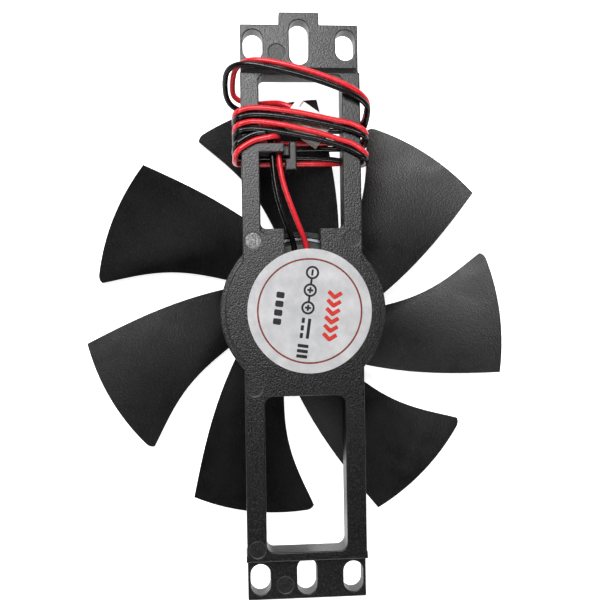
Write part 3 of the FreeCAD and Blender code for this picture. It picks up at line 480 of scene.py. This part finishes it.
# Nylon pieces. The washer under the shaft, the lock ring, the two coil formers and the plug are
# moulded in natural nylon: milky white, slightly translucent, with a low gloss.
nylon, tree, shader, place = new_material("natural_nylon", "#f2f1ec", 0.38, ior=1.53)
shader.inputs["Subsurface Weight"].default_value = 0.25
shader.inputs["Subsurface Radius"].default_value = (1.0, 0.95, 0.85)
shader.inputs["Subsurface Scale"].default_value = 0.8 * MM
rounded = edge_band(tree, 0.2 * MM)[1]
milk = add_node(tree, "ShaderNodeTexNoise", {"Scale": 1 / (4 * MM), "Detail": 4.0}, Vector=place)
tint = add_node(tree, "ShaderNodeMix", {"data_type": "RGBA", 6: "#e9e8e2", 7: "#f8f7f4"},
                _0=milk.outputs["Fac"])
tree.links.new(tint.outputs[2], shader.inputs["Base Color"])
satin = add_node(tree, "ShaderNodeTexNoise", {"Scale": 1 / (0.4 * MM), "Detail": 2.0}, Vector=place)
gloss = add_node(tree, "ShaderNodeMapRange", {"To Min": 0.3, "To Max": 0.46}, Value=satin.outputs["Fac"])
tree.links.new(gloss.outputs["Result"], shader.inputs["Roughness"])
face = add_node(tree, "ShaderNodeBump", {"Strength": 0.12, "Distance": 0.02 * MM},
                Height=satin.outputs["Fac"], Normal=rounded)
tree.links.new(face.outputs["Normal"], shader.inputs["Normal"])
for name in ("thrust_washer", "lock_ring", "insulator_upper", "insulator_lower", "connector_housing"):
    put_on(nodes[name], nylon)


# Stator core. Silicon steel stampings 0.5 mm thick in one stack, blue grey with varnish, so its
# sides show the edges of the sheets as fine lines.
SHEET = 0.5 * MM
stack, tree, shader, place = new_material("stacked_silicon_steel", "#4d5056", 0.45, 1.0)
height = add_node(tree, "ShaderNodeSeparateXYZ", None, Vector=place)
turn = add_node(tree, "ShaderNodeMath", {"operation": "MULTIPLY", 1: math.tau / SHEET},
                _0=height.outputs["Z"])
sheet_wave = add_node(tree, "ShaderNodeMath", {"operation": "SINE"}, _0=turn.outputs["Value"])
sheet_edge = add_node(tree, "ShaderNodeMapRange", {"From Min": -1.0, "From Max": -0.4},
                      Value=sheet_wave.outputs["Value"])
tint = add_node(tree, "ShaderNodeMix", {"data_type": "RGBA", 6: "#25272a", 7: "#666a72"},
                _0=sheet_edge.outputs["Result"])
tree.links.new(tint.outputs[2], shader.inputs["Base Color"])
varnish = add_node(tree, "ShaderNodeTexNoise", {"Scale": 1 / (2 * MM), "Detail": 3.0}, Vector=place)
gloss = add_node(tree, "ShaderNodeMapRange", {"To Min": 0.35, "To Max": 0.6}, Value=varnish.outputs["Fac"])
tree.links.new(gloss.outputs["Result"], shader.inputs["Roughness"])
ledges = add_node(tree, "ShaderNodeBump", {"Strength": 0.5, "Distance": 0.05 * MM},
                  Height=sheet_edge.outputs["Result"])
tree.links.new(ledges.outputs["Normal"], shader.inputs["Normal"])
put_on(nodes["stator_core"], stack)


# Coils. Enamelled copper wire, 0.2 mm, wound in layers on the four poles; its turns lie side by
# side outwards from the shaft, so each coil is finely ribbed.
TURN_PITCH = 0.22 * MM
coil_wire, tree, shader, place = new_material("enamelled_copper_wire", "#9a4a22", 0.28, 0.9)
plane = add_node(tree, "ShaderNodeMapping", {"Scale": (1.0, 1.0, 0.0)}, Vector=place)
outward = add_node(tree, "ShaderNodeVectorMath", {"operation": "LENGTH"}, _0=plane.outputs["Vector"])
turn = add_node(tree, "ShaderNodeMath", {"operation": "MULTIPLY", 1: math.tau / TURN_PITCH},
                _0=outward.outputs["Value"])
rib = add_node(tree, "ShaderNodeMath", {"operation": "SINE"}, _0=turn.outputs["Value"])
crown = add_node(tree, "ShaderNodeMapRange", {"From Min": -1.0, "From Max": 1.0}, Value=rib.outputs["Value"])
# Painted shade and highlight: the grooves between turns are painted dark and the crowns of the turns light.
tint = add_node(tree, "ShaderNodeMix", {"data_type": "RGBA", 6: "#4a1d0c", 7: "#b8602f"},
                _0=crown.outputs["Result"])
tree.links.new(tint.outputs[2], shader.inputs["Base Color"])
wound_bump = add_node(tree, "ShaderNodeBump", {"Strength": 0.7, "Distance": 0.08 * MM},
                      Height=crown.outputs["Result"])
tree.links.new(wound_bump.outputs["Normal"], shader.inputs["Normal"])
for k in range(1, 5):
    put_on(nodes[f"coil_{k}"], coil_wire)


# Winding pins and plug sockets. Square and round parts stamped or drawn from brass and hot tinned:
# pale, soft metal with a slight orange skin.
tinned, tree, shader, place = new_material("tinned_brass", "#c2bda9", 0.28, 1.0)
dip = add_node(tree, "ShaderNodeTexNoise", {"Scale": 1 / (0.9 * MM), "Detail": 3.0}, Vector=place)
tint = add_node(tree, "ShaderNodeMix", {"data_type": "RGBA", 6: "#aea894", 7: "#d3cfc0"},
                _0=dip.outputs["Fac"])
tree.links.new(tint.outputs[2], shader.inputs["Base Color"])
gloss = add_node(tree, "ShaderNodeMapRange", {"To Min": 0.2, "To Max": 0.4}, Value=dip.outputs["Fac"])
tree.links.new(gloss.outputs["Result"], shader.inputs["Roughness"])
skin_bump = add_node(tree, "ShaderNodeBump", {"Strength": 0.2, "Distance": 0.02 * MM},
                     Height=dip.outputs["Fac"])
tree.links.new(skin_bump.outputs["Normal"], shader.inputs["Normal"])
for name in ("winding_pins", "crimp_terminals"):
    put_on(nodes[name], tinned)


# Circuit board. Glass laminate punched round, under a green grey solder mask that lets the weave
# through; the punched edge is rough and paler.
laminate, tree, shader, place = new_material("solder_masked_glass_laminate", "#2c342e", 0.4, ior=1.55)
edge_mask, rounded = edge_band(tree, 0.2 * MM)
# The weave is 0.4 mm between threads; it is drawn at 0.6 mm to show through the mask.
WEAVE = 0.6 * MM
WAVE_PERIOD = 0.314  # a wave texture's own period at a scale of 1
weave_x = add_node(tree, "ShaderNodeTexWave",
                   {"bands_direction": "X", "Scale": WAVE_PERIOD / WEAVE, "Distortion": 0.3},
                   Vector=place)
weave_y = add_node(tree, "ShaderNodeTexWave",
                   {"bands_direction": "Y", "Scale": WAVE_PERIOD / WEAVE, "Distortion": 0.3},
                   Vector=place)
weave = add_node(tree, "ShaderNodeMath", {"operation": "MULTIPLY"},
                 _0=weave_x.outputs["Fac"], _1=weave_y.outputs["Fac"])
mask = add_node(tree, "ShaderNodeMix", {"data_type": "RGBA", 6: "#262e28", 7: "#343d36"},
                _0=weave.outputs["Value"])
punched = add_node(tree, "ShaderNodeMix", {"data_type": "RGBA", 7: "#5c6159"}, _0=edge_mask, _6=mask.outputs[2])
tree.links.new(punched.outputs[2], shader.inputs["Base Color"])
threads = add_node(tree, "ShaderNodeBump", {"Strength": 0.2, "Distance": 0.03 * MM},
                   Height=weave.outputs["Value"], Normal=rounded)
tree.links.new(threads.outputs["Normal"], shader.inputs["Normal"])
put_on(nodes["circuit_board"], laminate)


# Parts on the board. The Hall chip and the diode are moulded in black epoxy, the capacitor is
# a fired ceramic block.
epoxy, tree, shader, place = new_material("moulded_black_epoxy", "#151515", 0.55, ior=1.55)
filler = add_node(tree, "ShaderNodeTexNoise", {"Scale": 1 / (0.2 * MM), "Detail": 3.0}, Vector=place)
tint = add_node(tree, "ShaderNodeMix", {"data_type": "RGBA", 6: "#0f0f10", 7: "#232324"},
                _0=filler.outputs["Fac"])
tree.links.new(tint.outputs[2], shader.inputs["Base Color"])
rounded = edge_band(tree, 0.12 * MM)[1]
sandy = add_node(tree, "ShaderNodeBump", {"Strength": 0.25, "Distance": 0.01 * MM},
                 Height=filler.outputs["Fac"], Normal=rounded)
tree.links.new(sandy.outputs["Normal"], shader.inputs["Normal"])
for name in ("hall_chip", "protection_diode"):
    put_on(nodes[name], epoxy)

ceramic, tree, shader, place = new_material("fired_ceramic", "#a8895f", 0.3, ior=1.7)
fired = add_node(tree, "ShaderNodeTexNoise", {"Scale": 1 / (0.5 * MM), "Detail": 4.0}, Vector=place)
tint = add_node(tree, "ShaderNodeMix", {"data_type": "RGBA", 6: "#92744c", 7: "#b99a70"},
                _0=fired.outputs["Fac"])
tree.links.new(tint.outputs[2], shader.inputs["Base Color"])
rounded = edge_band(tree, 0.1 * MM)[1]
glazed = add_node(tree, "ShaderNodeBump", {"Strength": 0.1, "Distance": 0.01 * MM},
                  Height=fired.outputs["Fac"], Normal=rounded)
tree.links.new(glazed.outputs["Normal"], shader.inputs["Normal"])
put_on(nodes["filter_capacitor"], ceramic)


# Solder. Two domes of reflowed tin hold the leads to the board; they are bright, with a skin that
# froze slightly wrinkled.
tin, tree, shader, place = new_material("reflowed_tin_solder", "#c9c9c6", 0.18, 1.0)
frozen = add_node(tree, "ShaderNodeTexNoise", {"Scale": 1 / (0.5 * MM), "Detail": 3.0}, Vector=place)
tint = add_node(tree, "ShaderNodeMix", {"data_type": "RGBA", 6: "#b2b2af", 7: "#dededb"},
                _0=frozen.outputs["Fac"])
tree.links.new(tint.outputs[2], shader.inputs["Base Color"])
gloss = add_node(tree, "ShaderNodeMapRange", {"To Min": 0.12, "To Max": 0.32}, Value=frozen.outputs["Fac"])
tree.links.new(gloss.outputs["Result"], shader.inputs["Roughness"])
wrinkle = add_node(tree, "ShaderNodeBump", {"Strength": 0.3, "Distance": 0.03 * MM},
                   Height=frozen.outputs["Fac"])
tree.links.new(wrinkle.outputs["Normal"], shader.inputs["Normal"])
put_on(nodes["solder_joints"], tin)


# Leads. Two stranded wires in soft PVC, red for plus and black for minus, 1.4 mm over the
# insulation. Each runs from the board up through the hook, three times round both rails,
# once more in a loose loop over the front, and down behind the left rail into the plug.
lead_across = 1.4 * MM
pass_stations = (-16.2, -13.0, -9.5, -5.0, 0.0, 5.0, 9.5, 13.0, 16.2)
FRONT_Z = (8.3, 8.0, 7.95, 7.95, 7.95, 7.95, 7.95, 8.0, 8.3)
SIDE_Y = 16.5
SIDE_Z = 3.6


def wound(before, turns, after):
    """A lead's route in mm: its free start, its turns round the rails, and its free end."""
    route = list(before)
    for front, (left, rear) in turns:
        for y, x, z in zip(pass_stations, front, FRONT_Z):
            route.append((x, y, z))
        route.append((left, SIDE_Y, SIDE_Z))
        route.append((rear[0], 16.2, -0.9))
        for y, x, z in zip((10.0, 0.0, -9.0), rear, (-0.8, -0.75, -0.8)):
            route.append((x, y, z))
        route.append((rear[2], -16.2, -0.9))
        route.append((rear[2] + 0.4, -SIDE_Y, SIDE_Z))
    return route + list(after)


red_start = [
    (13.8, -1.5, 2.75), (16.2, -1.5, 2.75), (20.4, 0.2, 3.6), (25.8, 2.3, 3.95), (31.2, 4.2, 4.0),
    (35.9, 5.2, 4.0), (40.2, 5.55, 4.0), (43.5, 5.6, 4.0), (43.3, 6.0, 8.1), (42.7, 9.4, 7.95),
    (42.2, 11.6, 7.95), (41.0, 13.8, 7.95), (39.4, 16.0, 8.2), (37.8, 16.5, 3.6), (37.6, 16.2, -0.9),
    (37.7, 8.0, -0.8), (37.7, 0.0, -0.8), (37.8, -7.0, -1.0), (38.1, -12.0, -1.9), (38.6, -16.3, -1.3),
    (38.9, -16.6, 3.6),
]
red_turns = [
    ((38.6, 41.3, 42.3, 43.8, 45.0, 46.1, 46.7, 46.8, 45.6), (44.0, (42.9, 42.9, 43.1))),
    ((44.2, 46.2, 46.9, 47.8, 48.9, 49.6, 50.1, 50.1, 48.9), (48.0, (47.7, 47.7, 47.7))),
]
red_end = [
    (50.3, -17.1, 2.9), (52.3, -17.0, 6.4), (54.5, -13.4, 9.3), (57.4, -6.8, 9.3), (59.7, 0.6, 9.3),
    (61.3, 7.4, 9.2), (61.9, 12.9, 8.3), (60.6, 16.1, 5.6), (57.6, 16.9, 2.2), (54.8, 16.7, -1.0),
    (53.6, 13.4, -1.7), (53.2, 10.4, -1.1), (52.9, 7.3, 1.5), (52.3, 4.1, 3.4), (50.9, 1.25, 3.6),
]
black_start = [
    (13.8, 1.7, 2.75), (16.2, 1.7, 2.75), (20.4, 3.1, 3.6), (25.6, 5.05, 3.95), (30.9, 6.35, 4.0),
    (36.2, 6.9, 4.0), (40.4, 7.15, 4.0), (43.7, 7.6, 4.0), (43.9, 8.0, 8.1), (44.1, 10.4, 7.95),
    (43.4, 12.6, 7.95), (42.4, 14.4, 7.95), (41.0, 16.3, 8.2), (39.6, 16.6, 3.6), (39.3, 16.2, -0.9),
    (39.3, 8.0, -0.8), (39.3, 0.0, -0.75), (39.0, -8.0, -0.72), (38.2, -12.5, -0.72), (37.3, -16.2, -0.8),
    (37.2, -16.5, 3.6),
]
black_turns = [
    ((37.4, 39.5, 40.8, 42.2, 43.2, 44.1, 44.8, 45.0, 44.2), (42.6, (41.4, 41.4, 41.6))),
    ((42.9, 44.5, 45.4, 46.4, 47.3, 48.1, 48.5, 48.45, 47.5), (46.6, (46.2, 46.2, 46.2))),
]
black_end = [
    (49.4, -17.0, 5.6), (50.9, -16.6, 8.2), (53.3, -12.7, 9.5), (56.0, -6.0, 9.5), (58.1, 1.2, 9.5),
    (59.7, 8.0, 9.6), (60.8, 13.9, 9.4), (60.0, 18.0, 7.2), (57.0, 18.8, 3.6), (53.3, 18.2, -0.2),
    (51.4, 14.8, -1.8), (51.1, 11.4, -1.2), (51.0, 8.6, 1.5), (50.4, 5.5, 3.4), (48.9, 2.7, 3.6),
]


def lead(name, route, colour, pale):
    """One lead as a smooth curve in its own colour of PVC."""
    curve = bpy.data.curves.new(name, "CURVE")
    curve.dimensions = "3D"
    spline = curve.splines.new("NURBS")
    spline.points.add(len(route) - 1)
    for point, (x, y, z) in zip(spline.points, route):
        point.co = (x * MM, y * MM, z * MM, 1)
    spline.order_u = 3
    spline.use_endpoint_u = True
    spline.resolution_u = 8
    curve.bevel_depth = lead_across / 2
    curve.bevel_resolution = 5
    curve.use_fill_caps = True
    piece = bpy.data.objects.new(name, curve)
    bpy.context.scene.collection.objects.link(piece)
    # Soft PVC: smooth from the extruder, faintly uneven, with a low gloss and handling marks.
    material, tree, shader, place = new_material(f"extruded_pvc_{name}", colour, 0.38, ior=1.53)
    blotch = add_node(tree, "ShaderNodeTexNoise", {"Scale": 1 / (9 * MM), "Detail": 3.0}, Vector=place)
    tint = add_node(tree, "ShaderNodeMix", {"data_type": "RGBA", 6: colour, 7: pale},
                    _0=blotch.outputs["Fac"])
    tree.links.new(tint.outputs[2], shader.inputs["Base Color"])
    scuff = add_node(tree, "ShaderNodeTexNoise", {"Scale": 1 / (1.2 * MM), "Detail": 4.0}, Vector=place)
    rough = add_node(tree, "ShaderNodeMapRange", {"To Min": 0.2, "To Max": 0.34}, Value=scuff.outputs["Fac"])
    tree.links.new(rough.outputs["Result"], shader.inputs["Roughness"])
    bump = add_node(tree, "ShaderNodeBump", {"Strength": 0.15, "Distance": 0.05 * MM},
                    Height=scuff.outputs["Fac"])
    tree.links.new(bump.outputs["Normal"], shader.inputs["Normal"])
    put_on(piece, material)
    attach(piece, "stator")
    return piece


red = lead("red_wire", wound(red_start, red_turns, red_end), "#d8232e", "#e8424c")
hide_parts("red_lead", "red_loop", "lead_winding")
black = lead("black_wire", wound(black_start, black_turns, black_end), "#080809", "#131315")
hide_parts("black_lead", "black_loop", "lead_winding")
